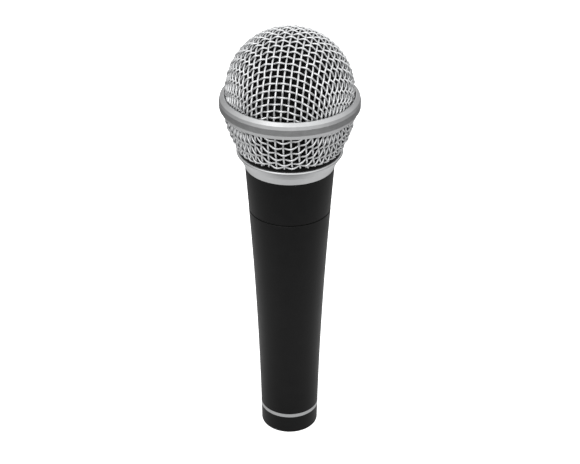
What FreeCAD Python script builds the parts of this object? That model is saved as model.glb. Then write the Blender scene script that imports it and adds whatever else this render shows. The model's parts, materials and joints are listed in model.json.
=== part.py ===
"""Dynamic vocal microphone with a ball grille, as a FreeCAD document.

Frame: millimetres, +Z up along the axis, origin at the middle of the tail's end face.
The grille is at the top, the cable socket opens downwards at the origin, and the front faces -Y.
The driving sizes are in the spreadsheet "Sizes"; every sub-part is bound to its cells.
"""
import FreeCAD, Part
import math
import os

import Sketcher

DRIVING = {
    # outside of the handle, from the tail up
    "tail_radius": 11.30, "tail_edge": 0.5, "cap_height": 7.8, "cap_radius": 11.42,
    "tail_ring_height": 1.5, "tail_ring_radius": 11.50, "tube_start_radius": 11.46,
    "flare_radius": 1830.0, "seam_height": 99.5, "seam_radius": 15.58, "seam_chamfer": 0.15,
    "seam_gap": 0.3, "seam_depth": 0.6, "shoulder_height": 117.8, "shoulder_radius": 16.85,
    # inside of the handle
    "socket_mouth_radius": 8.30, "socket_radius": 8.10, "mouth_depth": 2.9, "mouth_chamfer": 0.4,
    "spigot_radius": 9.90, "spigot_top": 21.0, "spigot_gap": 0.05, "stop_height": 19.6,
    "stop_radius": 6.6, "notch_width": 2.6, "notch_depth": 1.0, "notch_bottom": 4.0,
    "notch_top": 7.2, "tube_wall": 2.0,
    "coupling_bottom": 91.0, "coupling_radius": 13.2, "coupling_bore": 11.9,
    "sleeve_radius": 14.6, "sleeve_bore": 13.4, "sleeve_shelf": 1.0, "sleeve_gap": 0.05,
    # head screw
    "thread_radius": 15.50, "thread_bore": 15.55, "thread_top": 123.5, "seat_gap": 0.1,
    "washer_bottom": 123.58, "washer_height": 0.5, "washer_bore": 13.6, "washer_radius": 15.2,
    # grille base ring
    "break_height": 120.8, "break_radius": 18.04, "lip_radius": 19.95, "lip_edge": 0.7,
    "lip_scoop": 25.0, "base_top": 124.5, "flange_bottom": 124.15,
    "flange_top": 125.4, "flange_bore": 13.4, "boss_radius": 16.5,
    # black ring that holds the lower mesh
    "seat_radius": 18.8, "seat_step": 18.0, "seat_ledge": 125.6, "seat_top": 127.0,
    "ring_gap": 0.1, "dome_gap": 0.35,
    # grille
    "mesh_thickness": 1.2, "dome_radius": 23.7, "dome_height": 147.9, "bowl_radius": 24.5,
    "bowl_top": 141.0, "bowl_arc": 45.0, "bowl_foot": 19.45, "bowl_bottom": 125.7,
    "band_bottom": 140.6, "lip_knee_height": 141.9, "band_step": 142.4, "band_bevel": 144.7,
    "band_knee_height": 145.95, "band_top": 147.05, "band_radius": 26.0, "band_lip": 25.3,
    "lip_knee": 25.4, "band_lip_foot": 25.0, "band_knee": 25.7, "band_top_radius": 24.5,
    "web_bottom": 143.4, "web_top": 144.3, "web_bore": 22.45,
    "foam_thickness": 2.5, "foam_gap": 0.15, "foam_split": 143.45,
    # cartridge
    "chamber_bottom": 97.5, "chamber_radius": 10.2, "chamber_wall": 1.2,
    "capsule_bottom": 118.0, "capsule_top": 136.0, "capsule_radius": 12.8, "capsule_wall": 1.2,
    "port_radius": 1.2, "port_ring": 6.0, "felt_radius": 9.5, "felt_height": 1.2,
    "yoke_bottom": 121.0, "yoke_floor": 2.5, "yoke_top": 131.0, "yoke_radius": 11.5,
    "yoke_bore": 8.6, "magnet_radius": 7.0, "magnet_height": 4.5, "pole_radius": 7.4,
    "coil_bore": 7.75, "coil_radius": 8.25, "coil_bottom": 128.4,
    "spacer_bore": 9.6, "film_height": 133.0, "film_thickness": 0.2, "film_radius": 11.2,
    "film_rise": 1.2, "clamp_bore": 10.3, "clamp_height": 1.0,
    "screen_bottom": 135.2, "screen_height": 0.6, "screen_radius": 11.4,
    "cap_plate": 1.6, "cap_hole": 1.0, "cap_inner_ring": 4.4, "cap_outer_ring": 8.8,
    "board_height": 1.0, "board_radius": 8.0, "tag_width": 1.6, "tag_thickness": 0.4,
    "tag_length": 3.0, "tag_offset": 3.0,
    "mount_bottom": 111.5, "mount_top": 117.0, "isolator_height": 3.5,
    # cable socket
    "insert_bottom": 14.5, "insert_top": 19.5, "insert_radius": 8.05, "pin_radius": 1.2,
    "pin_tip": 3.5, "pin_end": 24.5, "pin_shank": 1.5, "pin_tail": 1.0, "cup_radius": 0.7,
    "cup_depth": 3.0, "pin_side": 3.81, "pin_rise": 2.03, "pin_drop": 4.32,
    "pin_clearance": 0.02, "lock_offset": 6.3, "lock_radius": 1.1, "lock_bottom": 14.8,
    "lock_slot_width": 0.4, "lock_slot_depth": 0.6, "ground_width": 3.0, "ground_length": 3.4,
    "ground_thickness": 0.4, "lead_radius": 0.55,
}

TOTAL_TURN = 360.0
SAME_PLACE = 1e-6
CUT_THROUGH = 3
CORNER_SHARE = 0.45
PORT_COUNT = 6
INNER_HOLE_COUNT = 6
OUTER_HOLE_COUNT = 12

# where the leads bend inside the handle, from the top down
HOT_DROP = 9.0
HOT_ROUTE = ((6.0, 1.5, 70.0), (3.4, 4.2, 48.0))
HOT_LANDING = 32.0
COLD_DROP = 8.0
COLD_ROUTE = ((-5.2, -2.5, 68.0), (-1.8, -5.6, 46.0))
COLD_LANDING = 33.0


class Size:
    """A length together with the spreadsheet expression that drives it."""

    def __init__(self, value, text):
        self.value = value
        self.text = text

    def joined(self, other, sign, value):
        return Size(value, "(" + self.text + " " + sign + " " + text_of(other) + ")")

    def __add__(self, other):
        return self.joined(other, "+", self.value + value_of(other))

    def __sub__(self, other):
        return self.joined(other, "-", self.value - value_of(other))

    def __mul__(self, other):
        return self.joined(other, "*", self.value * value_of(other))

    def __truediv__(self, other):
        return self.joined(other, "/", self.value / value_of(other))


def value_of(size):
    return size.value if isinstance(size, Size) else float(size)


def text_of(size):
    return size.text if isinstance(size, Size) else repr(float(size))


class Sheet:
    """The driving sizes, read as attributes such as sizes.tail_radius."""

    def __init__(self, doc):
        cells = doc.addObject("Spreadsheet::Sheet", "Sizes")
        for row, (name, value) in enumerate(DRIVING.items(), start=1):
            cells.set("A%d" % row, name)
            cells.set("B%d" % row, str(value))
            cells.setAlias("B%d" % row, name)
            setattr(self, name, Size(value, "Sizes." + name))


doc = FreeCAD.newDocument("Microphone")
sizes = Sheet(doc)
doc.recompute()
AXIS = Size(0.0, "0")
parts = []


class Corner:
    """A corner of an outline; bend is the radius of the arc to the next corner, if it is one."""

    def __init__(self, radius, height, bend=None, turn="left"):
        self.radius = radius
        self.height = height
        self.bend = bend
        self.turn = turn

    def point(self):
        return FreeCAD.Vector(value_of(self.radius), value_of(self.height), 0)


def arc_through(start, end, radius, turn):
    """The shorter arc from start to end that turns left or right on its way."""
    run = end - start
    side = FreeCAD.Vector(-run.y, run.x, 0).normalize()
    if turn == "right":
        side = side * -1.0
    offset = math.sqrt(max(radius ** 2 - (run.Length / 2) ** 2, 0.0))
    centre = (start + end) * 0.5 + side * offset
    return Part.Arc(start, centre - side * radius, end)


def plane_of(body, role):
    return next(plane for plane in body.Origin.OriginFeatures if plane.Role == role)


def new_body(label):
    body = doc.addObject("PartDesign::Body", label)
    body.Label = label
    parts.append(body)
    return body


def new_sketch(body, name, role):
    sketch = body.newObject("Sketcher::SketchObject", name)
    sketch.AttachmentSupport = (plane_of(body, role), [""])
    sketch.MapMode = "FlatFace"
    return sketch


def bind_corner(sketch, edge, end, number, corner):
    """Ties one end of an edge to its two sizes, or to the axis where it is on it."""
    for kind, axis_line, name, size in (("DistanceX", -2, "radius", corner.radius),
                                        ("DistanceY", -1, "height", corner.height)):
        if value_of(size) == 0.0:
            sketch.addConstraint(Sketcher.Constraint("PointOnObject", edge, end, axis_line))
            continue
        constraint = Sketcher.Constraint(kind, -1, 1, edge, end, value_of(size))
        index = sketch.addConstraint(constraint)
        sketch.renameConstraint(index, "%s_%d" % (name, number))
        sketch.setExpression("Constraints.%s_%d" % (name, number), text_of(size))


def draw_outline(sketch, corners):
    """Draws a closed outline of lines and arcs, every corner bound to the spreadsheet."""
    ends = []
    for number, corner in enumerate(corners):
        start = corner.point()
        end = corners[(number + 1) % len(corners)].point()
        if corner.bend is None:
            edge = sketch.addGeometry(Part.LineSegment(start, end), False)
        else:
            arc = arc_through(start, end, value_of(corner.bend), corner.turn)
            edge = sketch.addGeometry(arc, False)
        forward = sketch.getPoint(edge, 1).distanceToPoint(start) < SAME_PLACE
        ends.append((edge, 1, 2) if forward else (edge, 2, 1))
    for number, corner in enumerate(corners):
        edge, first, last = ends[number]
        following, next_first, _ = ends[(number + 1) % len(corners)]
        sketch.addConstraint(Sketcher.Constraint("Coincident", edge, last, following, next_first))
        bind_corner(sketch, edge, first, number, corner)
        if corner.bend is not None:
            index = sketch.addConstraint(
                Sketcher.Constraint("Radius", edge, value_of(corner.bend)))
            sketch.renameConstraint(index, "bend_%d" % number)
            sketch.setExpression("Constraints.bend_%d" % number, text_of(corner.bend))


def turned(label, corners):
    """A body turned about the Z axis from one closed outline."""
    body = new_body(label)
    sketch = new_sketch(body, label + "_outline", "XZ_Plane")
    draw_outline(sketch, corners)
    revolution = body.newObject("PartDesign::Revolution", label + "_turned")
    revolution.Profile = sketch
    revolution.ReferenceAxis = (sketch, ["V_Axis"])
    revolution.Angle = TOTAL_TURN
    body.Tip = revolution
    return body


def ring(label, inner, outer, bottom, top):
    """A plain turned ring, or a disc where inner is the axis."""
    return turned(label, [Corner(inner, bottom), Corner(outer, bottom),
                          Corner(outer, top), Corner(inner, top)])


def bound_circle(sketch, x, y, radius):
    """A circle whose centre and radius follow the spreadsheet."""
    centre = FreeCAD.Vector(value_of(x), value_of(y), 0)
    circle = Part.Circle(centre, FreeCAD.Vector(0, 0, 1), value_of(radius))
    edge = sketch.addGeometry(circle, False)
    number = sketch.GeometryCount
    bind_corner(sketch, edge, 3, number, Corner(x, y))
    index = sketch.addConstraint(Sketcher.Constraint("Radius", edge, value_of(radius)))
    sketch.renameConstraint(index, "size_%d" % number)
    sketch.setExpression("Constraints.size_%d" % number, text_of(radius))


def drill(body, name, centres, radius):
    """Round holes right through a body, along Z."""
    sketch = new_sketch(body, name + "_circles", "XY_Plane")
    for x, y in centres:
        bound_circle(sketch, x, y, radius)
    pocket = body.newObject("PartDesign::Pocket", name)
    pocket.Profile = sketch
    pocket.Type = "ThroughAll"
    pocket.Reversed = True
    body.Tip = pocket
    return pocket


def repeat_round(body, feature, count):
    """Repeats one cut evenly about the axis."""
    pattern = body.newObject("PartDesign::PolarPattern", feature.Name + "_ring")
    pattern.Originals = [feature]
    pattern.Axis = (feature.Profile[0], ["N_Axis"])
    pattern.Angle = TOTAL_TURN
    pattern.Occurrences = count
    body.Tip = pattern


def bound_box(label, length, width, height, x, y, z):
    """A Part box whose size and place follow the spreadsheet."""
    box = doc.addObject("Part::Box", label)
    box.Label = label
    for name, size in (("Length", length), ("Width", width), ("Height", height),
                       ("Placement.Base.x", x), ("Placement.Base.y", y),
                       ("Placement.Base.z", z)):
        box.setExpression(name, text_of(size))
    return box


def pin_places():
    """Contacts 1, 2 and 3 of the three-pole cable socket."""
    side = sizes.pin_side
    return [(AXIS - side, sizes.pin_rise), (side, sizes.pin_rise), (AXIS, AXIS - sizes.pin_drop)]


# ---------------------------------------------------------------- handle

def make_tail_cap():
    """The end cap: the socket's shell outside, and the spigot that goes up into the tube."""
    bottom_radius = sizes.tail_radius - sizes.tail_edge
    mouth = sizes.socket_mouth_radius
    body = turned("tail_cap", [
        Corner(mouth + sizes.mouth_chamfer, AXIS),
        Corner(bottom_radius, AXIS, sizes.tail_edge, "left"),
        Corner(sizes.tail_radius, sizes.tail_edge),
        Corner(sizes.cap_radius, sizes.cap_height),
        Corner(sizes.spigot_radius, sizes.cap_height),
        Corner(sizes.spigot_radius, sizes.spigot_top),
        Corner(sizes.stop_radius, sizes.spigot_top),
        Corner(sizes.stop_radius, sizes.stop_height),
        Corner(sizes.socket_radius, sizes.stop_height),
        Corner(sizes.socket_radius, sizes.mouth_depth),
        Corner(mouth, sizes.mouth_depth),
        Corner(mouth, sizes.mouth_chamfer),
    ])
    cut_latch_notch(body)


def cut_latch_notch(body):
    """The recess in the socket's wall that the cable plug's latch springs into."""
    sketch = new_sketch(body, "latch_notch_outline", "XZ_Plane")
    half = sizes.notch_width / 2
    left = AXIS - half
    draw_outline(sketch, [Corner(left, sizes.notch_bottom), Corner(half, sizes.notch_bottom),
                          Corner(half, sizes.notch_top), Corner(left, sizes.notch_top)])
    pocket = body.newObject("PartDesign::Pocket", "latch_notch")
    pocket.Profile = sketch
    pocket.Type = "Length"
    pocket.setExpression("Length", text_of(sizes.socket_radius + sizes.notch_depth))
    pocket.Reversed = False
    body.Tip = pocket


def make_handle_skin():
    """The thin bright ring, the long flared tube, and the upper barrel with its shadow gap."""
    ring("tail_ring", sizes.spigot_radius + sizes.spigot_gap, sizes.tail_ring_radius,
         sizes.cap_height, sizes.cap_height + sizes.tail_ring_height)
    tube_bottom = sizes.cap_height + sizes.tail_ring_height
    bore = sizes.spigot_radius + sizes.spigot_gap
    seam_inside = sizes.coupling_radius + sizes.sleeve_gap
    turned("handle_tube", [
        Corner(bore, tube_bottom),
        Corner(sizes.tube_start_radius, tube_bottom, sizes.flare_radius, "right"),
        Corner(sizes.seam_radius, sizes.seam_height - sizes.seam_chamfer),
        Corner(sizes.seam_radius - sizes.seam_chamfer, sizes.seam_height),
        Corner(seam_inside, sizes.seam_height),
        Corner(seam_inside, sizes.coupling_bottom - sizes.tube_wall),
        Corner(bore, sizes.spigot_top + sizes.tube_wall),
    ])
    sleeve_hole = sizes.sleeve_radius + sizes.sleeve_gap
    land_radius = sizes.seam_radius - sizes.seam_depth
    rim_bottom = sizes.seam_height + sizes.seam_gap
    turned("upper_barrel", [
        Corner(sleeve_hole, sizes.seam_height),
        Corner(land_radius, sizes.seam_height),
        Corner(land_radius, rim_bottom),
        Corner(sizes.seam_radius - sizes.seam_chamfer, rim_bottom),
        Corner(sizes.seam_radius, rim_bottom + sizes.seam_chamfer),
        Corner(sizes.shoulder_radius, sizes.shoulder_height),
        Corner(sleeve_hole, sizes.shoulder_height),
    ])


def make_thread_sleeve():
    """The metal sleeve that joins tube and barrel and carries the screw for the head."""
    shelf = sizes.seam_height + sizes.sleeve_shelf
    turned("thread_sleeve", [
        Corner(sizes.coupling_bore, sizes.coupling_bottom),
        Corner(sizes.coupling_radius, sizes.coupling_bottom),
        Corner(sizes.coupling_radius, sizes.seam_height),
        Corner(sizes.sleeve_radius, sizes.seam_height),
        Corner(sizes.sleeve_radius, sizes.shoulder_height),
        Corner(sizes.thread_radius, sizes.shoulder_height),
        Corner(sizes.thread_radius, sizes.thread_top),
        Corner(sizes.sleeve_bore, sizes.thread_top),
        Corner(sizes.sleeve_bore, shelf),
        Corner(sizes.coupling_bore, shelf),
    ])


# ---------------------------------------------------------------- cable socket

def make_socket():
    """The moulded insert with its three pins, lock screw and ground tab."""
    insert = ring("xlr_insert", AXIS, sizes.insert_radius, sizes.insert_bottom, sizes.insert_top)
    drill(insert, "pin_holes", pin_places(), sizes.pin_shank + sizes.pin_clearance)
    lock_hole = sizes.lock_radius + sizes.pin_clearance
    drill(insert, "lock_hole", [(AXIS, sizes.lock_offset)], lock_hole)
    for number, (x, y) in enumerate(pin_places(), start=1):
        make_pin("xlr_pin_%d" % number, x, y)
    make_lock_screw()
    make_ground_tab()


def make_pin(label, x, y):
    """One contact: round-nosed pin, thicker shank in the insert, solder cup behind."""
    cup_floor = sizes.pin_end - sizes.cup_depth
    nose = sizes.pin_tip + sizes.pin_radius
    body = turned(label, [
        Corner(AXIS, sizes.pin_tip, sizes.pin_radius, "left"),
        Corner(sizes.pin_radius, nose),
        Corner(sizes.pin_radius, sizes.insert_bottom),
        Corner(sizes.pin_shank, sizes.insert_bottom),
        Corner(sizes.pin_shank, sizes.insert_top),
        Corner(sizes.pin_tail, sizes.insert_top),
        Corner(sizes.pin_tail, sizes.pin_end),
        Corner(sizes.cup_radius, sizes.pin_end),
        Corner(sizes.cup_radius, cup_floor),
        Corner(AXIS, cup_floor),
    ])
    body.setExpression("Placement.Base.x", text_of(x))
    body.setExpression("Placement.Base.y", text_of(y))


def make_lock_screw():
    """The slotted grub screw that locks the insert in the cap."""
    body = ring("lock_screw", AXIS, sizes.lock_radius, sizes.lock_bottom, sizes.insert_top)
    sketch = new_sketch(body, "slot_outline", "XZ_Plane")
    half = sizes.lock_slot_width / 2
    left = AXIS - half
    slot_top = sizes.lock_bottom + sizes.lock_slot_depth
    draw_outline(sketch, [Corner(left, sizes.lock_bottom), Corner(half, sizes.lock_bottom),
                          Corner(half, slot_top), Corner(left, slot_top)])
    pocket = body.newObject("PartDesign::Pocket", "screw_slot")
    pocket.Profile = sketch
    pocket.Type = "ThroughAll"
    pocket.Midplane = True
    body.Tip = pocket
    body.setExpression("Placement.Base.y", text_of(sizes.lock_offset))


def make_ground_tab():
    """The small plate behind pin 1 that carries the ground to the shell."""
    x, y = pin_places()[0]
    plate = bound_box("ground_plate", sizes.ground_width, sizes.ground_length,
                      sizes.ground_thickness, x - sizes.ground_width / 2,
                      y - sizes.ground_length / 2, sizes.insert_top)
    hole = doc.addObject("Part::Cylinder", "ground_hole")
    hole.setExpression("Radius", text_of(sizes.pin_tail + sizes.pin_clearance))
    hole.setExpression("Height", text_of(sizes.ground_thickness * CUT_THROUGH))
    hole.setExpression("Placement.Base.x", text_of(x))
    hole.setExpression("Placement.Base.y", text_of(y))
    hole.setExpression("Placement.Base.z", text_of(sizes.insert_top - sizes.ground_thickness))
    tab = doc.addObject("Part::Cut", "ground_tab")
    tab.Base = plate
    tab.Tool = hole
    tab.Label = "ground_tab"
    parts.append(tab)


# ---------------------------------------------------------------- grille head

def make_base_ring():
    """The flared ring at the foot of the grille, bored for the screw of the sleeve."""
    bottom = sizes.shoulder_height + sizes.seat_gap
    turned("grille_base_ring", [
        Corner(sizes.thread_bore, bottom),
        Corner(sizes.shoulder_radius, bottom),
        Corner(sizes.break_radius, sizes.break_height, sizes.lip_scoop, "right"),
        Corner(sizes.lip_radius, sizes.base_top - sizes.lip_edge, sizes.lip_edge, "left"),
        Corner(sizes.lip_radius - sizes.lip_edge, sizes.base_top),
        Corner(sizes.boss_radius, sizes.base_top),
        Corner(sizes.boss_radius, sizes.flange_top),
        Corner(sizes.flange_bore, sizes.flange_top),
        Corner(sizes.flange_bore, sizes.flange_bottom),
        Corner(sizes.thread_bore, sizes.flange_bottom),
    ])
    inner = sizes.boss_radius + sizes.ring_gap
    turned("mesh_seat_ring", [
        Corner(inner, sizes.base_top),
        Corner(sizes.seat_radius, sizes.base_top),
        Corner(sizes.seat_radius, sizes.seat_ledge),
        Corner(sizes.seat_step, sizes.seat_ledge),
        Corner(sizes.seat_step, sizes.seat_top),
        Corner(inner, sizes.seat_top),
    ])


def make_meshes():
    """Closed shells with the true outer form of the two woven wire meshes."""
    inner = sizes.dome_radius - sizes.mesh_thickness
    foot = sizes.web_top + sizes.ring_gap
    turned("upper_grille", [
        Corner(inner, foot), Corner(sizes.dome_radius, foot),
        Corner(sizes.dome_radius, sizes.dome_height, sizes.dome_radius, "left"),
        Corner(AXIS, sizes.dome_height + sizes.dome_radius),
        Corner(AXIS, sizes.dome_height + inner, inner, "right"),
        Corner(inner, sizes.dome_height),
    ])
    thickness = sizes.mesh_thickness
    head = sizes.web_bottom - sizes.ring_gap
    inner_foot = sizes.bowl_foot - thickness
    turned("lower_grille", [
        Corner(sizes.bowl_foot, sizes.bowl_bottom, sizes.bowl_arc, "left"),
        Corner(sizes.bowl_radius, sizes.bowl_top),
        Corner(sizes.bowl_radius, head),
        Corner(sizes.bowl_radius - thickness, head),
        Corner(sizes.bowl_radius - thickness, sizes.bowl_top, sizes.bowl_arc - thickness, "right"),
        Corner(inner_foot, sizes.bowl_bottom + thickness / 2),
    ])


def make_band():
    """The ring round the widest part, with a web between the edges of the two meshes."""
    dome_slot = sizes.dome_radius + sizes.dome_gap
    bowl_slot = sizes.bowl_radius + sizes.ring_gap
    turned("grille_band", [
        Corner(bowl_slot, sizes.band_bottom),
        Corner(sizes.band_lip_foot, sizes.band_bottom),
        Corner(sizes.lip_knee, sizes.lip_knee_height),
        Corner(sizes.band_lip, sizes.band_step),
        Corner(sizes.band_radius, sizes.band_step),
        Corner(sizes.band_radius, sizes.band_bevel),
        Corner(sizes.band_knee, sizes.band_knee_height),
        Corner(sizes.band_top_radius, sizes.band_top),
        Corner(dome_slot, sizes.band_top),
        Corner(dome_slot, sizes.web_top),
        Corner(sizes.web_bore, sizes.web_top),
        Corner(sizes.web_bore, sizes.web_bottom),
        Corner(bowl_slot, sizes.web_bottom),
    ])


def make_foam():
    """The two foam liners that lie against the inside of the meshes."""
    outer = sizes.dome_radius - sizes.mesh_thickness - sizes.foam_gap
    inner = outer - sizes.foam_thickness
    turned("upper_foam_liner", [
        Corner(inner, sizes.foam_split), Corner(outer, sizes.foam_split),
        Corner(outer, sizes.dome_height, outer, "left"),
        Corner(AXIS, sizes.dome_height + outer),
        Corner(AXIS, sizes.dome_height + inner, inner, "right"),
        Corner(inner, sizes.dome_height),
    ])
    head = sizes.web_bottom - sizes.ring_gap
    bowl = sizes.bowl_radius - sizes.mesh_thickness - sizes.foam_gap
    arc = sizes.bowl_arc - sizes.mesh_thickness - sizes.foam_gap
    foot = sizes.seat_top + sizes.ring_gap
    turned("lower_foam_liner", [
        Corner(sizes.seat_step + sizes.ring_gap, foot, arc, "left"),
        Corner(bowl, sizes.bowl_top),
        Corner(bowl, head),
        Corner(bowl - sizes.foam_thickness, head),
        Corner(bowl - sizes.foam_thickness, sizes.bowl_top, arc - sizes.foam_thickness, "right"),
        Corner(sizes.seat_step + sizes.ring_gap - sizes.foam_thickness, foot),
    ])


# ---------------------------------------------------------------- cartridge

def make_capsule_case():
    """The cartridge's case, with the rear chamber under it and the perforated cap on top."""
    case_inside = sizes.capsule_radius - sizes.capsule_wall
    floor = sizes.capsule_bottom + sizes.capsule_wall
    case = turned("cartridge_housing", [
        Corner(AXIS, sizes.capsule_bottom),
        Corner(sizes.capsule_radius, sizes.capsule_bottom),
        Corner(sizes.capsule_radius, sizes.capsule_top),
        Corner(case_inside, sizes.capsule_top),
        Corner(case_inside, floor),
        Corner(AXIS, floor),
    ])
    port = drill(case, "rear_port", [(sizes.port_ring, AXIS)], sizes.port_radius)
    repeat_round(case, port, PORT_COUNT)
    bore = sizes.chamber_radius - sizes.chamber_wall
    chamber_floor = sizes.chamber_bottom + sizes.chamber_wall
    turned("rear_chamber", [
        Corner(AXIS, sizes.chamber_bottom),
        Corner(sizes.chamber_radius, sizes.chamber_bottom),
        Corner(sizes.chamber_radius, sizes.capsule_bottom),
        Corner(bore, sizes.capsule_bottom),
        Corner(bore, chamber_floor),
        Corner(AXIS, chamber_floor),
    ])
    cap = ring("front_cap", AXIS, sizes.capsule_radius, sizes.capsule_top,
               sizes.capsule_top + sizes.cap_plate)
    inner_hole = drill(cap, "inner_hole", [(sizes.cap_inner_ring, AXIS)], sizes.cap_hole)
    repeat_round(cap, inner_hole, INNER_HOLE_COUNT)
    outer_hole = drill(cap, "outer_hole", [(sizes.cap_outer_ring, AXIS)], sizes.cap_hole)
    repeat_round(cap, outer_hole, OUTER_HOLE_COUNT)


def make_acoustics():
    """The felt over the rear ports and the cloth under the cap."""
    floor = sizes.capsule_bottom + sizes.capsule_wall
    ring("rear_felt", AXIS, sizes.felt_radius, floor, floor + sizes.felt_height)
    ring("cloth_screen", AXIS, sizes.screen_radius, sizes.screen_bottom,
         sizes.screen_bottom + sizes.screen_height)


def make_motor():
    """Yoke, magnet and pole piece, with the ring-shaped air gap between them."""
    yoke_inside = sizes.yoke_bottom + sizes.yoke_floor
    turned("yoke", [
        Corner(AXIS, sizes.yoke_bottom),
        Corner(sizes.yoke_radius, sizes.yoke_bottom),
        Corner(sizes.yoke_radius, sizes.yoke_top),
        Corner(sizes.yoke_bore, sizes.yoke_top),
        Corner(sizes.yoke_bore, yoke_inside),
        Corner(AXIS, yoke_inside),
    ])
    magnet_top = yoke_inside + sizes.magnet_height
    ring("magnet", AXIS, sizes.magnet_radius, yoke_inside, magnet_top)
    ring("pole_piece", AXIS, sizes.pole_radius, magnet_top, sizes.yoke_top)


def make_diaphragm():
    """The formed film, its voice coil, and the spacer and clamp rings that hold its rim."""
    ring("spacer_ring", sizes.spacer_bore, sizes.yoke_radius, sizes.yoke_top, sizes.film_height)
    film_top = sizes.film_height + sizes.film_thickness
    ring("clamp_ring", sizes.clamp_bore, sizes.yoke_radius, film_top,
         film_top + sizes.clamp_height)
    ring("voice_coil", sizes.coil_bore, sizes.coil_radius, sizes.coil_bottom, sizes.film_height)
    edge, rise = sizes.coil_bore, sizes.film_rise
    dome = (edge * edge + rise * rise) / (rise * 2)
    turned("diaphragm", [
        Corner(AXIS, sizes.film_height + rise, dome, "right"),
        Corner(edge, sizes.film_height),
        Corner(sizes.film_radius, sizes.film_height),
        Corner(sizes.film_radius, film_top),
        Corner(edge, film_top, dome, "left"),
        Corner(AXIS, film_top + rise),
    ])


def make_suspension():
    """The two rubber rings that carry the cartridge in the sleeve."""
    inner = sizes.chamber_radius + sizes.sleeve_gap
    outer = sizes.sleeve_bore - sizes.sleeve_gap
    ring("shock_mount", inner, outer, sizes.mount_bottom, sizes.mount_top)
    shelf = sizes.seam_height + sizes.sleeve_shelf
    ring("lower_isolator", inner, outer, shelf, shelf + sizes.isolator_height)


def make_terminals():
    """The round terminal board under the rear chamber, with two solder tags."""
    board_bottom = sizes.chamber_bottom - sizes.board_height
    ring("terminal_board", AXIS, sizes.board_radius, board_bottom, sizes.chamber_bottom)
    tags = []
    for name, side in (("hot_tag", 1), ("cold_tag", -1)):
        tags.append(bound_box(name, sizes.tag_thickness, sizes.tag_width, sizes.tag_length,
                              sizes.tag_offset * side - sizes.tag_thickness / 2,
                              AXIS - sizes.tag_width / 2, board_bottom - sizes.tag_length))
    pair = doc.addObject("Part::MultiFuse", "solder_tags")
    pair.Shapes = tags
    pair.Label = "solder_tags"
    parts.append(pair)


# ---------------------------------------------------------------- leads

def rounded_path(points):
    """Straight runs joined by tangent arcs, as large as the shorter run allows."""
    edges = []
    start = points[0]
    for before, corner, after in zip(points, points[1:], points[2:]):
        back = (before - corner).normalize()
        ahead = (after - corner).normalize()
        trim = CORNER_SHARE * min(before.distanceToPoint(corner), corner.distanceToPoint(after))
        first = corner + back * trim
        last = corner + ahead * trim
        half_turn = (math.pi - back.getAngle(ahead)) / 2
        radius = trim / math.tan(half_turn)
        middle_way = (back + ahead).normalize()
        reach = radius / math.cos(half_turn) - radius
        middle = corner + middle_way * reach
        edges.append(Part.LineSegment(start, first).toShape())
        edges.append(Part.Arc(first, middle, last).toShape())
        start = last
    edges.append(Part.LineSegment(start, points[-1]).toShape())
    return Part.Wire(edges)


def make_lead(label, points):
    """One insulated lead, swept along its route inside the handle."""
    path = rounded_path(points)
    direction = points[1] - points[0]
    circle = Part.Circle(points[0], direction, sizes.lead_radius.value)
    shape = path.makePipeShell([Part.Wire([circle.toShape()])], True, True)
    lead = doc.addObject("Part::Feature", label)
    lead.Label = label
    lead.Shape = shape
    lead.Placement = FreeCAD.Placement()
    parts.append(lead)
    expected = path.Length * math.pi * sizes.lead_radius.value ** 2
    print("%s: length %.1f, volume %.2f, expected %.2f"
          % (label, path.Length, shape.Volume, expected))


def lead_route(tag_x, drop, route, pin, landing):
    """From a solder tag down, through the route's bends, into one pin's solder cup."""
    top = (sizes.chamber_bottom - sizes.board_height - sizes.tag_length).value
    end = (sizes.pin_end - sizes.cup_depth).value
    x, y = [value_of(place) for place in pin_places()[pin - 1]]
    bends = [FreeCAD.Vector(*bend) for bend in route]
    return [FreeCAD.Vector(tag_x, 0, top), FreeCAD.Vector(tag_x, 0, top - drop), *bends,
            FreeCAD.Vector(x, y, landing), FreeCAD.Vector(x, y, end)]


def make_leads():
    """The hot and cold leads, from the solder tags down to pins 2 and 3."""
    tag = sizes.tag_offset.value
    make_lead("hot_lead", lead_route(tag, HOT_DROP, HOT_ROUTE, 2, HOT_LANDING))
    make_lead("cold_lead", lead_route(-tag, COLD_DROP, COLD_ROUTE, 3, COLD_LANDING))


# ---------------------------------------------------------------- document

def check_and_write():
    """Stops on any failed object, then writes one STEP file for each sub-part."""
    doc.recompute()
    for thing in doc.Objects:
        if "Invalid" in thing.State or "Error" in thing.State:
            raise RuntimeError("failed object: " + thing.Label + " " + str(thing.State))
    os.makedirs("parts", exist_ok=True)
    for part in parts:
        shape = part.Shape
        if shape.isNull() or not shape.isValid() or not shape.Solids:
            raise RuntimeError("bad shape: " + part.Label)
        print("%-18s %2d solid %10.2f mm3 z %.2f to %.2f" % (
            part.Label, len(shape.Solids), shape.Volume, shape.BoundBox.ZMin,
            shape.BoundBox.ZMax))
        shape.exportStep("parts/" + part.Label + ".step")


def main():
    make_tail_cap()
    make_handle_skin()
    make_thread_sleeve()
    make_socket()
    make_base_ring()
    make_meshes()
    make_band()
    make_foam()
    ring("head_gasket", sizes.washer_bore, sizes.washer_radius, sizes.washer_bottom,
         sizes.washer_bottom + sizes.washer_height)
    make_capsule_case()
    make_acoustics()
    make_motor()
    make_diaphragm()
    make_suspension()
    make_terminals()
    make_leads()
    check_and_write()


main()
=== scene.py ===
"""The looks of the dynamic microphone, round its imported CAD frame. Metres, +Z up, front -Y."""
import json
import math

import bpy
import numpy as np
from mathutils import Matrix, Vector, noise


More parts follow.
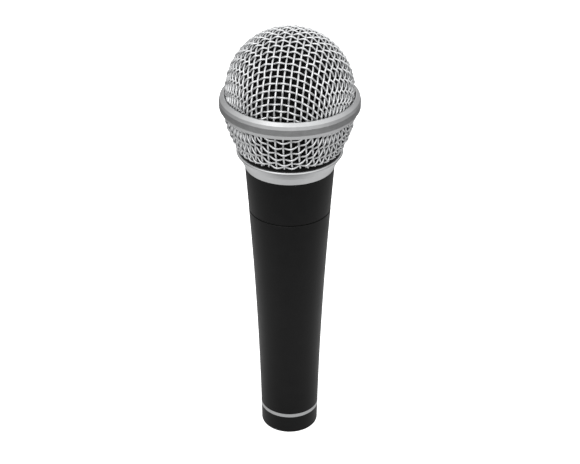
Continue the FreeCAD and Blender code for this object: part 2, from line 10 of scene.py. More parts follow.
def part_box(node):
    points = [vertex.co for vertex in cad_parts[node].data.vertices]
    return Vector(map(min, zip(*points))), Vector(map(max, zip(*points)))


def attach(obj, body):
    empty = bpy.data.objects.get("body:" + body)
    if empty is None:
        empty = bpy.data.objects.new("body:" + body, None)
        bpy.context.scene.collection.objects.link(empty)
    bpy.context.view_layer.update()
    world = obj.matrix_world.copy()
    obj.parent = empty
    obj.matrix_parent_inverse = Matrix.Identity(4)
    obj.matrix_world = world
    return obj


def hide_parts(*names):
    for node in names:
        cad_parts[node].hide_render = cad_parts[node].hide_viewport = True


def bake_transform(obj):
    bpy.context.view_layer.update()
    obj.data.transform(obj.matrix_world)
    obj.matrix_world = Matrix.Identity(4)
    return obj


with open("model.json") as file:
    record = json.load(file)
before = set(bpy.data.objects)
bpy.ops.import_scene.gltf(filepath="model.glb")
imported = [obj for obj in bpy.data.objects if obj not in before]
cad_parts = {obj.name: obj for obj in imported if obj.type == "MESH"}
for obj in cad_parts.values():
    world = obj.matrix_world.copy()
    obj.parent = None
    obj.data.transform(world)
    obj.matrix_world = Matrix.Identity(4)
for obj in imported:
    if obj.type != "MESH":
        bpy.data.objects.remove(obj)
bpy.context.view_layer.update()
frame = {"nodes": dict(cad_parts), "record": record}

MM = 0.001

# ---------------------------------------------------------------- camera

CAMERA_PLACE = (0.1 * MM, -503.7 * MM, 386.95 * MM)
CAMERA_DOWN = math.radians(30.68)
CAMERA_ROLL = math.radians(0.08)
CAMERA_LENS = 94.68
SENSOR_WIDTH = 36.0
CAMERA_CLIP = 20.0 * MM


def make_camera():
    data = bpy.data.cameras.new("camera")
    data.lens = CAMERA_LENS
    data.sensor_width = SENSOR_WIDTH
    data.clip_start = CAMERA_CLIP
    data.dof.use_dof = False
    camera = bpy.data.objects.new("camera", data)
    level = Matrix.Rotation(math.pi / 2 - CAMERA_DOWN, 4, "X")
    rolled = level @ Matrix.Rotation(CAMERA_ROLL, 4, "Z")
    camera.matrix_world = Matrix.Translation(CAMERA_PLACE) @ rolled
    bpy.context.scene.collection.objects.link(camera)
    bpy.context.scene.camera = camera


# ---------------------------------------------------------------- studio

FLOOR_HALF = 4.0
FLOOR_DROP = 0.05 * MM
FLOOR_WHITE = 0.95
FLOOR_PAINT = 0.8

# The floor's glow by distance, which lights the microphone and is not seen by the camera: (metres
# from the foot, brightness). It is painted light: dimmer within 6 cm of the foot as a painted
# shadow of the microphone, and brightest from 6 to 11 cm as a painted pool of light.
FLOOR_PAINTED_LIGHT_AND_SHADE_STEPS = ((0.0, 0.52), (0.03, 0.58), (0.06, 0.78), (0.11, 0.78), (0.26, 0.18), (0.45, 0.18),
               (1.0, 0.60))

# The studio's walls by height, behind and in front of the microphone: (sine of the elevation
# brought to 0..1, brightness). FRONT_REACH gives the Y of a direction where each begins.
BACK_STEPS = ((0.0, 0.3), (0.49, 0.36), (0.51, 0.50), (0.65, 0.50), (0.80, 0.80), (0.925, 1.05),
              (1.0, 1.10))
FRONT_STEPS = ((0.0, 0.3), (0.50, 0.50), (0.56, 1.20), (0.725, 1.50), (0.925, 1.40), (1.0, 1.20))
FRONT_REACH = (0.0, -0.7)
BACKDROP = 1.0

KEY_PLACE = (-0.30, -0.45, 0.80)
KEY_AIM = (0.0, 0.0, 0.13)
KEY_SIZE = (0.30, 0.30)
KEY_POWER = 0.5


def link(tree, source, target):
    tree.links.new(source, target)


def seen_or_lighting(tree, seen, lighting):
    """What the camera sees directly, and what lights the microphone instead."""
    path = tree.nodes.new("ShaderNodeLightPath")
    mix = tree.nodes.new("ShaderNodeMixShader")
    link(tree, path.outputs["Is Camera Ray"], mix.inputs["Fac"])
    link(tree, lighting, mix.inputs[1])
    link(tree, seen, mix.inputs[2])
    return mix.outputs[0]


def step_ramp(tree, place, steps):
    """Brightness along a socket, from (position, brightness) steps."""
    ramp = tree.nodes.new("ShaderNodeValToRGB")
    elements = ramp.color_ramp.elements
    while len(elements) < len(steps):
        elements.new(0.5)
    for element, (position, level) in zip(elements, steps):
        element.position = position
        element.color = (level, level, level, 1.0)
    link(tree, place, ramp.inputs["Fac"])
    return ramp.outputs["Color"]


def glow(tree, strength):
    """A white emission of a constant strength, or of the strength a socket gives."""
    node = tree.nodes.new("ShaderNodeEmission")
    if isinstance(strength, float):
        node.inputs["Strength"].default_value = strength
    else:
        link(tree, strength, node.inputs["Strength"])
    return node.outputs[0]


def make_floor():
    """A plain white sweep that the microphone stands on, evenly white to the camera; it lights the
    microphone with its painted glow, a painted pool of light that is dimmer at the foot as painted
    shadow.
    """
    mesh = bpy.data.meshes.new("floor")
    corners = [(x * FLOOR_HALF, y * FLOOR_HALF, -FLOOR_DROP)
               for x, y in ((-1, -1), (1, -1), (1, 1), (-1, 1))]
    mesh.from_pydata(corners, [], [(0, 1, 2, 3)])
    floor = bpy.data.objects.new("floor", mesh)
    bpy.context.scene.collection.objects.link(floor)
    paint = bpy.data.materials.new("floor_white")
    paint.use_nodes = True
    tree = paint.node_tree
    tree.nodes.clear()
    diffuse = tree.nodes.new("ShaderNodeBsdfDiffuse")
    diffuse.inputs["Color"].default_value = (FLOOR_PAINT, FLOOR_PAINT, FLOOR_PAINT, 1.0)
    white = tree.nodes.new("ShaderNodeAddShader")
    link(tree, diffuse.outputs[0], white.inputs[0])
    link(tree, glow(tree, FLOOR_WHITE), white.inputs[1])
    coords = tree.nodes.new("ShaderNodeTexCoord")
    reach = tree.nodes.new("ShaderNodeVectorMath")
    reach.operation = "LENGTH"
    link(tree, coords.outputs["Object"], reach.inputs[0])
    # The glow that lights the microphone: a painted pool of light, dimmer at the foot as a painted
    # shadow of the microphone.
    painted_light_and_shade = step_ramp(tree, reach.outputs["Value"], FLOOR_PAINTED_LIGHT_AND_SHADE_STEPS)
    out = tree.nodes.new("ShaderNodeOutputMaterial")
    surface = seen_or_lighting(tree, white.outputs[0], glow(tree, painted_light_and_shade))
    link(tree, surface, out.inputs["Surface"])
    mesh.materials.append(paint)


def make_world():
    """A white studio: a bright ceiling, and dimmer walls round the horizon."""
    world = bpy.data.worlds.new("studio")
    bpy.context.scene.world = world
    world.use_nodes = True
    tree = world.node_tree
    tree.nodes.clear()
    coords = tree.nodes.new("ShaderNodeTexCoord")
    split = tree.nodes.new("ShaderNodeSeparateXYZ")
    link(tree, coords.outputs["Generated"], split.inputs[0])
    height = tree.nodes.new("ShaderNodeMapRange")
    height.inputs["From Min"].default_value = -1.0
    link(tree, split.outputs["Z"], height.inputs["Value"])
    front = tree.nodes.new("ShaderNodeMapRange")
    front.interpolation_type = "SMOOTHSTEP"
    front.inputs["From Min"].default_value, front.inputs["From Max"].default_value = FRONT_REACH
    link(tree, split.outputs["Y"], front.inputs["Value"])
    walls = tree.nodes.new("ShaderNodeMix")
    walls.data_type = "RGBA"
    link(tree, front.outputs["Result"], walls.inputs["Factor"])
    link(tree, step_ramp(tree, height.outputs["Result"], BACK_STEPS), walls.inputs[6])
    link(tree, step_ramp(tree, height.outputs["Result"], FRONT_STEPS), walls.inputs[7])
    lighting = tree.nodes.new("ShaderNodeBackground")
    link(tree, walls.outputs[2], lighting.inputs["Strength"])
    seen = tree.nodes.new("ShaderNodeBackground")
    seen.inputs["Strength"].default_value = BACKDROP
    for shader in (lighting, seen):
        shader.inputs["Color"].default_value = (1.0, 1.0, 1.0, 1.0)
    out = tree.nodes.new("ShaderNodeOutputWorld")
    link(tree, seen_or_lighting(tree, seen.outputs[0], lighting.outputs[0]), out.inputs["Surface"])


def make_key_light():
    """A faint softbox above and in front, to the left of the head."""
    data = bpy.data.lights.new("key", "AREA")
    data.shape = "RECTANGLE"
    data.size, data.size_y = KEY_SIZE
    data.energy = KEY_POWER
    lamp = bpy.data.objects.new("key", data)
    lamp.location = KEY_PLACE
    way = Vector(KEY_AIM) - Vector(KEY_PLACE)
    lamp.rotation_euler = way.to_track_quat("-Z", "Y").to_euler()
    bpy.context.scene.collection.objects.link(lamp)


# ---------------------------------------------------------------- materials

FINE_DETAIL = 4.0
BROAD_DETAIL = 2.0
BROAD_PER_FINE = 12.0
NOISE_REACH = (0.30, 0.70)


class Finish:
    """One material: two colours that a fine noise mixes, a roughness range and a small bump."""

    def __init__(self, name, dark, light, rough, metallic=0.0, grain=900.0, bump=0.08,
                 depth=0.03, stretch=(1.0, 1.0, 1.0), specular=0.5):
        self.material = bpy.data.materials.new(name)
        self.material.use_nodes = True
        self.tree = self.material.node_tree
        self.shader = self.tree.nodes["Principled BSDF"]
        self.shader.inputs["Metallic"].default_value = metallic
        self.shader.inputs["Specular IOR Level"].default_value = specular
        place = self.placed(stretch)
        fine = self.noise(place, grain, FINE_DETAIL)
        broad = self.noise(place, grain / BROAD_PER_FINE, BROAD_DETAIL)
        both = self.average(fine, broad)
        self.colour(both, dark, light)
        self.roughness(both, rough)
        self.bump(fine, bump, depth)

    def placed(self, stretch):
        coords = self.tree.nodes.new("ShaderNodeTexCoord")
        mapping = self.tree.nodes.new("ShaderNodeMapping")
        mapping.inputs["Scale"].default_value = stretch
        link(self.tree, coords.outputs["Object"], mapping.inputs["Vector"])
        return mapping.outputs["Vector"]

    def noise(self, place, scale, detail):
        node = self.tree.nodes.new("ShaderNodeTexNoise")
        node.inputs["Scale"].default_value = scale
        node.inputs["Detail"].default_value = detail
        link(self.tree, place, node.inputs["Vector"])
        return node.outputs["Fac"]

    def average(self, first, second):
        node = self.tree.nodes.new("ShaderNodeMix")
        node.inputs["Factor"].default_value = 0.5
        link(self.tree, first, node.inputs["A"])
        link(self.tree, second, node.inputs["B"])
        return node.outputs["Result"]

    def colour(self, factor, dark, light):
        ramp = self.tree.nodes.new("ShaderNodeValToRGB")
        low, high = ramp.color_ramp.elements
        low.position, high.position = NOISE_REACH
        low.color, high.color = (*dark, 1.0), (*light, 1.0)
        link(self.tree, factor, ramp.inputs["Fac"])
        link(self.tree, ramp.outputs["Color"], self.shader.inputs["Base Color"])

    def roughness(self, factor, rough):
        node = self.tree.nodes.new("ShaderNodeMapRange")
        node.inputs["From Min"].default_value, node.inputs["From Max"].default_value = NOISE_REACH
        node.inputs["To Min"].default_value, node.inputs["To Max"].default_value = rough
        link(self.tree, factor, node.inputs["Value"])
        link(self.tree, node.outputs["Result"], self.shader.inputs["Roughness"])

    def bump(self, factor, strength, depth):
        node = self.tree.nodes.new("ShaderNodeBump")
        node.inputs["Strength"].default_value = strength
        node.inputs["Distance"].default_value = depth * MM
        link(self.tree, factor, node.inputs["Height"])
        link(self.tree, node.outputs["Normal"], self.shader.inputs["Normal"])


def grey(level, tint=0.0):
    """A near-neutral colour, a little blue where tint is above zero."""
    return (level * (1.0 - tint), level, level * (1.0 + tint))


FINISHES = {
    "black_paint": dict(dark=grey(0.002, 0.02), light=grey(0.005, 0.02), rough=(0.36, 0.44),
                        grain=2400.0, bump=0.10, depth=0.02, specular=0.19),
    "silver_paint": dict(dark=grey(0.58, 0.01), light=grey(0.66, 0.01), rough=(0.30, 0.38),
                         metallic=1.0, grain=5200.0, bump=0.10, depth=0.01),
    "wire": dict(dark=grey(0.74, 0.01), light=grey(0.84, 0.01), rough=(0.24, 0.32),
                 metallic=0.80, grain=5200.0, bump=0.10, depth=0.01),
    "black_plastic": dict(dark=grey(0.003), light=grey(0.006), rough=(0.50, 0.62),
                          grain=1800.0, bump=0.10, specular=0.12),
    "bare_alloy": dict(dark=grey(0.50), light=grey(0.62), rough=(0.22, 0.38), metallic=1.0,
                       stretch=(1.0, 1.0, 14.0), grain=700.0, bump=0.15),
    "nylon": dict(dark=(0.62, 0.60, 0.54), light=(0.74, 0.72, 0.66), rough=(0.40, 0.55),
                  grain=1400.0, bump=0.06),
    "case_plastic": dict(dark=grey(0.035), light=grey(0.055), rough=(0.38, 0.52), grain=1500.0,
                         bump=0.15),
    "felt": dict(dark=grey(0.12), light=grey(0.26), rough=(0.85, 0.95), grain=3200.0, bump=0.6,
                 depth=0.1),
    "soft_iron": dict(dark=grey(0.38), light=grey(0.50), rough=(0.25, 0.40), metallic=1.0,
                      stretch=(1.0, 1.0, 10.0), grain=900.0, bump=0.12),
    "nickel": dict(dark=(0.60, 0.58, 0.54), light=(0.72, 0.70, 0.66), rough=(0.10, 0.20),
                   metallic=1.0, grain=500.0, bump=0.03),
    "film": dict(dark=(0.55, 0.46, 0.22), light=(0.70, 0.60, 0.32), rough=(0.12, 0.22),
                 grain=300.0, bump=0.05),
    "copper_wire": dict(dark=(0.55, 0.22, 0.10), light=(0.78, 0.38, 0.20), rough=(0.22, 0.34),
                        metallic=1.0, stretch=(0.2, 0.2, 9.0), grain=1400.0, bump=0.5, depth=0.05),
    "rubber": dict(dark=grey(0.018), light=grey(0.032), rough=(0.60, 0.75), grain=1200.0,
                   bump=0.15),
    "board": dict(dark=(0.16, 0.08, 0.03), light=(0.28, 0.15, 0.06), rough=(0.40, 0.55),
                  stretch=(1.0, 6.0, 1.0), grain=900.0, bump=0.12),
    "contact": dict(dark=(0.66, 0.63, 0.55), light=(0.80, 0.77, 0.69), rough=(0.14, 0.26),
                    metallic=1.0, grain=1100.0, bump=0.05),
    "red_sleeve": dict(dark=(0.30, 0.012, 0.012), light=(0.42, 0.022, 0.020), rough=(0.38, 0.5),
                       grain=1300.0, bump=0.08),
    "dark_sleeve": dict(dark=grey(0.012), light=grey(0.022), rough=(0.38, 0.5), grain=1300.0,
                        bump=0.08),
}


FOAM_GRAIN = 1500.0
CELL_BUMP = 0.9
CELL_DEPTH = 0.25


def make_foam_finish():
    """Dark open-cell foam, whose bump comes from rounded cells in place of the fine noise."""
    finish = Finish("dark_foam", grey(0.0015), grey(0.008), (0.88, 0.98), grain=FOAM_GRAIN,
                    specular=0.1)
    tree = finish.tree
    cells = tree.nodes.new("ShaderNodeTexVoronoi")
    cells.feature = "F1"
    cells.inputs["Scale"].default_value = FOAM_GRAIN
    link(tree, finish.placed((1.0, 1.0, 1.0)), cells.inputs["Vector"])
    finish.bump(cells.outputs["Distance"], CELL_BUMP, CELL_DEPTH)
    return finish.material


def record_slots():
    """The record's material slot of each CAD node."""
    return {row["node"]: row["material_slot"] for row in frame["record"]["subparts"]}


def dress_cad_nodes(materials):
    """Gives every CAD node its procedural material."""
    slots = record_slots()
    for name, node in frame["nodes"].items():
        material = materials.get(slots[name])
        if material is None:
            continue
        for slot in node.material_slots:
            slot.material = material


# ---------------------------------------------------------------- woven wire

# Pitches are sideways and fore-and-aft. The crest is how far a wire stands out past the CAD
# surface. Turns and tips place the weave, and the bunch squeezes the bowl's foot row.
WIRE = 0.74 * MM
DOME_PITCH = (2.447 * MM, 2.447 * MM)
BOWL_PITCH = (2.82 * MM, 2.82 * MM)
WARP_CRIMP = 0.25 * MM
WEFT_CRIMP = 0.45 * MM
DOME_CREST = 0.22 * MM
BOWL_CREST = 0.30 * MM
STEPS_PER_PITCH = 5
WIRE_SIDES = 8
TABLE_STEP = 0.02 * MM
FEWEST_ARC_POINTS = 8
NEWTON_ROUNDS = 8
NUDGE = 0.01 * MM
FLAT_SLOPES = 1e-9
TURN_MARGIN = 0.05
INSIDE_BAND = 0.9 * MM
ABOVE_ALL = 1.0

DOME_TURN = math.radians(-8.0)
DOME_TIP = (math.radians(4.4), math.radians(1.9))
DOME_BELOW = math.radians(24.0)
BOWL_TURN = math.radians(-5.8)
BOWL_ARC = 45.0 * MM
BOWL_TOP = 141.0 * MM
BOWL_FOOT_RADIUS = 19.45 * MM
BUNCH_START = 25.4 * MM
BUNCH_SHARE = 0.68


def mesh_depth(crest):
    """From the CAD surface in to the middle of the woven cloth."""
    return WEFT_CRIMP + WIRE / 2 - crest


class Meridian:
    """Half a surface of revolution's outline, by length from its pole: radius and height."""

    def __init__(self, radii, heights, outside, pitch, bunch_start=0.0):
        self.pitch = pitch
        self.bunch_start = bunch_start
        steps = np.hypot(np.diff(radii), np.diff(heights))
        self.length = np.concatenate([[0.0], np.cumsum(steps)])
        self.radii = radii
        self.heights = heights
        self.outside = outside

    def bunched(self, along):
        """The cloth is squeezed together below its bunching length, where it is clamped."""
        return along + max(self.bunch_start - along, 0.0) * (1.0 - BUNCH_SHARE)

    def point(self, along, turn):
        radius = np.interp(along, self.length, self.radii)
        height = np.interp(along, self.length, self.heights)
        return np.array([radius * math.cos(turn), radius * math.sin(turn), height])

    def along(self, point):
        """The length from the pole at a point's height."""
        order = 1 if self.heights[-1] > self.heights[0] else -1
        return float(np.interp(point[2], self.heights[::order], self.length[::order]))

    def normal(self, along, turn):
        ahead, behind = along + NUDGE, max(along - NUDGE, 0.0)
        rise = np.interp(ahead, self.length, self.heights) - np.interp(
            behind, self.length, self.heights)
        run = np.interp(ahead, self.length, self.radii) - np.interp(
            behind, self.length, self.radii)
        size = math.hypot(rise, run)
        out, up = -rise * self.outside / size, run * self.outside / size
        return np.array([out * math.cos(turn), out * math.sin(turn), up])


def arc_points(centre, radius, start, end):
    count = max(FEWEST_ARC_POINTS, int(abs(end - start) * radius / TABLE_STEP))
    angle = np.linspace(start, end, count)
    return centre[0] + radius * np.cos(angle), centre[1] + radius * np.sin(angle)


def dome_meridian():
    """The dome: half a sphere, carried on a little below its equator inside the band."""
    _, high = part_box("upper_grille")
    angles = (math.pi / 2, -DOME_BELOW)
    radius = high.x - mesh_depth(DOME_CREST)
    radii, heights = arc_points((0.0, high.z - high.x), radius, *angles)
    return Meridian(radii, heights, 1, DOME_PITCH)


def bowl_meridian():
    """The bowl: a round cap that was cut away at its foot, its long curved side, and its rim."""
    low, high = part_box("lower_grille")
    foot = np.array([BOWL_FOOT_RADIUS, low.z])
    top = np.array([high.x, BOWL_TOP])
    chord = top - foot
    length = float(np.hypot(*chord))
    inward = np.array([-chord[1], chord[0]]) / length
    centre = (foot + top) / 2 + inward * math.sqrt(BOWL_ARC ** 2 - (length / 2) ** 2)
    foot_angle = math.atan2(foot[1] - centre[1], foot[0] - centre[0])
    top_angle = math.atan2(top[1] - centre[1], top[0] - centre[0])
    depth = mesh_depth(BOWL_CREST)
    cap_radius = BOWL_FOOT_RADIUS / math.cos(foot_angle) - depth
    cap_centre = low.z - BOWL_FOOT_RADIUS * math.tan(foot_angle)
    cap = arc_points((0.0, cap_centre), cap_radius, -math.pi / 2, foot_angle)
    side = arc_points(centre, BOWL_ARC - depth, foot_angle, top_angle)
    rim_top = high.z + 3 * max(BOWL_PITCH)
    rim_heights = np.arange(side[1][-1] + TABLE_STEP, rim_top, TABLE_STEP)
    rim_radii = np.full(len(rim_heights), side[0][-1])
    return Meridian(np.concatenate([cap[0], side[0], rim_radii]),
                    np.concatenate([cap[1], side[1], rim_heights]), -1, BOWL_PITCH,
                    BUNCH_START)


def fourth_corner(meridian, first, second, opposite):
    """The crossing one pitch from two neighbours, on the far side from the opposite crossing."""
    guess = first + second - opposite
    state = np.array([meridian.along(guess), math.atan2(guess[1], guess[0])])

    def misses(at):
        point = meridian.point(at[0], at[1])
        return np.array([np.linalg.norm(point - first) - meridian.pitch[1],
                         np.linalg.norm(point - second) - meridian.pitch[0]])

    for _ in range(NEWTON_ROUNDS):
        miss = misses(state)
        reach = max(np.hypot(guess[0], guess[1]), *meridian.pitch)
        scale = np.array([NUDGE, NUDGE / reach])
        slopes = np.stack([(misses(state + np.eye(2)[k] * scale[k]) - miss) / scale[k]
                           for k in range(2)], axis=1)
        if abs(np.linalg.det(slopes)) < FLAT_SLOPES:
            break
        state = state - np.linalg.solve(slopes, miss)
    return state


def quarter_net(meridian, count):
    """Places (length, turn) of the crossings in one quarter of a draped square weave."""
    places = np.full((count, count, 2), np.nan)
    for step in range(count):
        places[step, 0] = (step * meridian.pitch[0], 0.0)
        places[0, step] = (step * meridian.pitch[1], math.pi / 2)
    longest = meridian.length[-1]
    for i in range(1, count):
        for j in range(1, count):
            corners = [meridian.point(*places[a, b])
                       for a, b in ((i, j - 1), (i - 1, j), (i - 1, j - 1))]
            if np.isnan(corners).any():
                continue
            found = fourth_corner(meridian, *corners)
            turn_fits = -TURN_MARGIN < found[1] < math.pi / 2 + TURN_MARGIN
            if 0.0 < found[0] < longest and turn_fits:
                places[i, j] = found
    return places


def whole_net(meridian, turn):
    """Points and outward normals of every crossing, with the pole in the middle."""
    count = int(meridian.length[-1] / min(meridian.pitch)) + 2
    quarter = quarter_net(meridian, count)
    size = 2 * count - 1
    points = np.full((size, size, 3), np.nan)
    normals = np.full((size, size, 3), np.nan)
    for i in range(size):
        for j in range(size):
            a, b = i - count + 1, j - count + 1
            along, angle = quarter[abs(a), abs(b)]
            if np.isnan(along):
                continue
            along = meridian.bunched(along)
            angle = math.atan2(math.sin(angle) * (1 if b >= 0 else -1),
                               math.cos(angle) * (1 if a >= 0 else -1)) + turn
            points[i, j] = meridian.point(along, angle)
            normals[i, j] = meridian.normal(along, angle)
    return points, normals


def curve_through(points, share):
    """Catmull-Rom between points[1] and points[2]."""
    before, start, end, after = points
    return 0.5 * (2 * start + (end - before) * share
                  + (2 * before - 5 * start + 4 * end - after) * share ** 2
                  + (3 * start - before - 3 * end + after) * share ** 3)


def wire_line(points, normals, sign, crimp):
    """The centreline and normals of one wire as it passes over and under the others."""
    line, ups = [], []
    for k in range(len(points) - 1):
        if np.isnan(points[k:k + 2]).any():
            line.append(None)
            ups.append(None)
            continue
        whole = [points[max(k - 1, 0)], points[k], points[k + 1],
                 points[min(k + 2, len(points) - 1)]]
        if np.isnan(whole[0]).any():
            whole[0] = 2 * whole[1] - whole[2]
        if np.isnan(whole[3]).any():
            whole[3] = 2 * whole[2] - whole[1]
        for step in range(STEPS_PER_PITCH):
            share = step / STEPS_PER_PITCH
            up = normals[k] * (1 - share) + normals[k + 1] * share
            up = up / np.linalg.norm(up)
            wave = sign * (-1) ** k * crimp * math.cos(math.pi * share)
            line.append(curve_through(whole, share) + up * wave)
            ups.append(up)
    return line, ups


def runs_between(line, ups, low, high):
    """The stretches of a wire's line that lie between two heights, cut exactly there."""
    runs, run = [], []
    previous = None
    for point, up in zip(line, ups):
        if point is None:
            runs.append(run)
            run = []
            previous = None
            continue
        if low <= point[2] <= high:
            if not run and previous is not None:
                run = [crossing(previous, (point, up), low, high)]
            run.append((point, up))
        elif run:
            run.append(crossing(run[-1], (point, up), low, high))
            runs.append(run)
            run = []
        previous = (point, up)
    runs.append(run)
    return [r for r in runs if len(r) > 2]


def crossing(inside, outside, low, high):
    """Where the line between two of its points meets the height limit."""
    limit = low if min(inside[0][2], outside[0][2]) < low else high
    share = (limit - inside[0][2]) / (outside[0][2] - inside[0][2])
    point = inside[0] * (1 - share) + outside[0] * share
    return point, inside[1]


class TubeMesh:
    """Collects round wires into one mesh."""

    def __init__(self):
        self.points = []
        self.faces = []

    def add(self, run):
        centre = np.array([point for point, _ in run])
        up = np.array([way for _, way in run])
        along = np.gradient(centre, axis=0)
        along /= np.linalg.norm(along, axis=1, keepdims=True)
        side = np.cross(along, up)
        side /= np.linalg.norm(side, axis=1, keepdims=True)
        up = np.cross(side, along)
        first = len(self.points)
        for k in range(WIRE_SIDES):
            angle = 2 * math.pi * k / WIRE_SIDES
            offset = (up * math.cos(angle) + side * math.sin(angle)) * WIRE / 2
            self.points.extend((centre + offset).tolist())
        count = len(run)
        ring = [first + k * count for k in range(WIRE_SIDES)]
        for k in range(WIRE_SIDES):
            here, following = ring[k], ring[(k + 1) % WIRE_SIDES]
            for step in range(count - 1):
                self.faces.append((here + step, here + step + 1, following + step + 1,
                                   following + step))
        self.faces.append(tuple(ring))
        self.faces.append(tuple(start + count - 1 for start in reversed(ring)))

    def object(self, name):
        mesh = bpy.data.meshes.new(name)
        mesh.from_pydata(self.points, [], self.faces)
        mesh.shade_smooth()
        mesh.validate()
        piece = bpy.data.objects.new(name, mesh)
        bpy.context.scene.collection.objects.link(piece)
        return piece


def tipped(points, normals, centre, tip):
    """A net turned forwards and sideways about a sphere's centre, which leaves it on the sphere."""
    turn = np.array(Matrix.Rotation(tip[1], 3, "Y") @ Matrix.Rotation(tip[0], 3, "X"))
    return (points - centre) @ turn.T + centre, normals @ turn.T


def weave(name, net, low, high):
    """Both families of wires of a draped plain weave, between two heights."""
    points, normals = net
    tubes = TubeMesh()
    for row in range(points.shape[0]):
        sign = 1 if row % 2 == 0 else -1
        for line_points, line_normals, way, crimp in (
                (points[row], normals[row], sign, WARP_CRIMP),
                (points[:, row], normals[:, row], -sign, WEFT_CRIMP)):
            line, ups = wire_line(line_points, line_normals, way, crimp)
            for run in runs_between(line, ups, low, high):
                tubes.add(run)
    return tubes.object(name)


def make_grilles(paint):
    band_low, band_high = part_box("grille_band")
    _, dome_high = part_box("upper_grille")
    centre = np.array([0.0, 0.0, dome_high.z - dome_high.x])
    dome_net = tipped(*whole_net(dome_meridian(), DOME_TURN), centre, DOME_TIP)
    dome = weave("dome_weave", dome_net, band_high.z - INSIDE_BAND, ABOVE_ALL)
    bowl_low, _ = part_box("lower_grille")
    bowl_net = whole_net(bowl_meridian(), BOWL_TURN)
    bowl = weave("bowl_weave", bowl_net, bowl_low.z + WIRE / 4, band_low.z + INSIDE_BAND)
    for piece, node in ((dome, "upper_grille"), (bowl, "lower_grille")):
        piece.data.materials.append(paint)
        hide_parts(node)
        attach(piece, "grille_head")


# ---------------------------------------------------------------- foam

FOAM_ROUND = 240
FOAM_PORE = 0.9 * MM
FOAM_RELIEF = 0.22 * MM
FOAM_WALL = 2.5 * MM
FOAM_BEHIND = 0.85 * MM
FOAM_ROWS = 60
FOAM_POLE = math.radians(89.6)


def ring_mesh(name, rings):
    """A closed skin through rings of points, the last ring joined to the first."""
    around = len(rings[0])
    points = [point for ring in rings for point in ring]
    faces = []
    for r in range(len(rings)):
        following = (r + 1) % len(rings)
        for k in range(around):
            ahead = (k + 1) % around
            faces.append((r * around + k, r * around + ahead,
                          following * around + ahead, following * around + k))
    mesh = bpy.data.meshes.new(name)
    mesh.from_pydata(points, [], faces)
    piece = bpy.data.objects.new(name, mesh)
    bpy.context.scene.collection.objects.link(piece)
    return piece


def foam_shell(name, outline):
    """A closed foam shell turned from (radius, height) points, with a porous skin."""
    rings = []
    for radius, height in outline:
        ring = []
        for k in range(FOAM_ROUND):
            angle = 2 * math.pi * k / FOAM_ROUND
            point = Vector((radius * math.cos(angle), radius * math.sin(angle), height))
            relief = abs(noise.noise(point / FOAM_PORE)) * FOAM_RELIEF
            shrink = 1.0 - relief / max(radius, FOAM_PORE)
            ring.append((point.x * shrink, point.y * shrink, point.z))
        rings.append(ring)
    piece = ring_mesh(name, rings)
    piece.data.shade_smooth()
    return piece


def dome_foam_outline():
    low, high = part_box("upper_foam_liner")
    outer = high.x
    inner = outer - FOAM_WALL
    centre = high.z - outer
    points = [(outer, low.z)]
    points += [(outer * math.cos(a), centre + outer * math.sin(a))
               for a in np.linspace(0.0, FOAM_POLE, FOAM_ROWS)]
    points += [(inner * math.cos(a), centre + inner * math.sin(a))
               for a in np.linspace(FOAM_POLE, 0.0, FOAM_ROWS // 3)]
    points.append((inner, low.z))
    return points


def bowl_foam_outline():
    low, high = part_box("lower_foam_liner")
    meridian = bowl_meridian()
    heights = np.linspace(low.z, high.z, FOAM_ROWS)
    radii = np.interp(heights, meridian.heights, meridian.radii) - FOAM_BEHIND
    outside = list(zip(radii, heights))
    inside = [(radius - FOAM_WALL, height) for radius, height in reversed(outside)]
    return outside + inside


def make_foam(paint):
    for name, outline, node in (("dome_foam", dome_foam_outline(), "upper_foam_liner"),
                                ("bowl_foam", bowl_foam_outline(), "lower_foam_liner")):
        piece = foam_shell(name, outline)
        piece.data.materials.append(paint)
        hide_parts(node)
        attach(piece, "grille_head")


# ---------------------------------------------------------------- head screw

# The sleeve's radii and heights are those of the CAD node that it replaces.
THREAD_PITCH = 1.0 * MM
THREAD_DEPTH = 0.45 * MM
THREAD_STEP = 0.125 * MM
THREAD_ROUND = 160
THREAD_END = 0.6 * MM
COUPLING_RADIUS = 13.2 * MM
COUPLING_BORE = 11.9 * MM
COUPLING_TOP = 99.5 * MM
SLEEVE_RADIUS = 14.6 * MM
SPIGOT_BOTTOM = 117.8 * MM
SPIGOT_RADIUS = 15.5 * MM
SPIGOT_BORE = 13.4 * MM
SHELF_TOP = 100.5 * MM


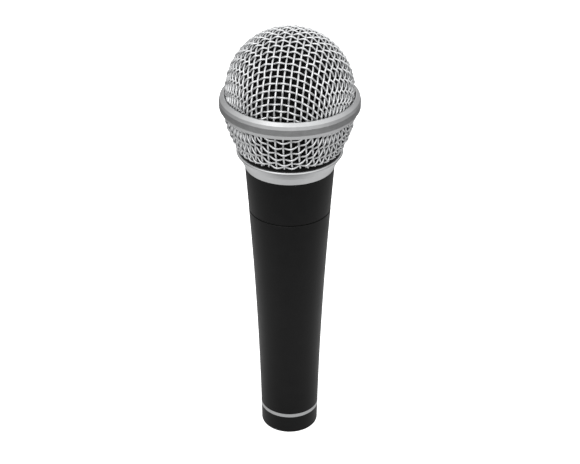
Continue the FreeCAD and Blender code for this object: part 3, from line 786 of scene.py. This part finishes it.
def thread_depth(angle, height, bottom, top):
    """How far the screw thread is cut in at one place on the spigot, fading out at its ends."""
    turn = (height / THREAD_PITCH - angle / (2 * math.pi)) % 1.0
    cut = 1.0 - abs(2.0 * turn - 1.0)
    near_end = min(height - bottom, top - height) / THREAD_END
    return THREAD_DEPTH * cut * min(max(near_end, 0.0), 1.0)


def make_threaded_sleeve(paint):
    """The sleeve inside the barrel, with the screw thread that the grille turns on."""
    low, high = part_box("thread_sleeve")
    heights = np.arange(SPIGOT_BOTTOM, high.z, THREAD_STEP)
    outline = [(COUPLING_BORE, low.z), (COUPLING_RADIUS, low.z), (COUPLING_RADIUS, COUPLING_TOP),
               (SLEEVE_RADIUS, COUPLING_TOP), (SLEEVE_RADIUS, SPIGOT_BOTTOM)]
    outline += [(SPIGOT_RADIUS, height) for height in heights]
    outline += [(SPIGOT_RADIUS, high.z), (SPIGOT_BORE, high.z), (SPIGOT_BORE, SHELF_TOP),
                (COUPLING_BORE, SHELF_TOP)]
    rings = []
    for radius, height in outline:
        ring = []
        for k in range(THREAD_ROUND):
            angle = 2 * math.pi * k / THREAD_ROUND
            cut = 0.0
            if radius == SPIGOT_RADIUS:
                cut = thread_depth(angle, height, SPIGOT_BOTTOM, high.z)
            ring.append(((radius - cut) * math.cos(angle), (radius - cut) * math.sin(angle),
                         height))
        rings.append(ring)
    piece = ring_mesh("threaded_sleeve", rings)
    piece.data.materials.append(paint)
    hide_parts("thread_sleeve")
    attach(piece, "handle")


# ---------------------------------------------------------------- leads and rubber

FLEXING = ("hot_lead", "cold_lead", "shock_mount", "lower_isolator")


def make_flexing():
    """Leads and rubber rings that give between the handle, below, and the cartridge, above."""
    for name in FLEXING:
        node = frame["nodes"][name]
        piece = bpy.data.objects.new("flexing_" + name, node.data.copy())
        piece.matrix_world = node.matrix_world.copy()
        bpy.context.scene.collection.objects.link(piece)
        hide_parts(name)
        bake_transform(piece)


# ---------------------------------------------------------------- scene

make_camera()
make_floor()
make_world()
make_key_light()
materials = {name: Finish(name, **look).material for name, look in FINISHES.items()}
materials["dark_foam"] = make_foam_finish()
dress_cad_nodes(materials)
make_grilles(materials["wire"])
make_foam(materials["dark_foam"])
make_threaded_sleeve(materials["bare_alloy"])
make_flexing()
bpy.context.scene.view_settings.view_transform = "Standard"
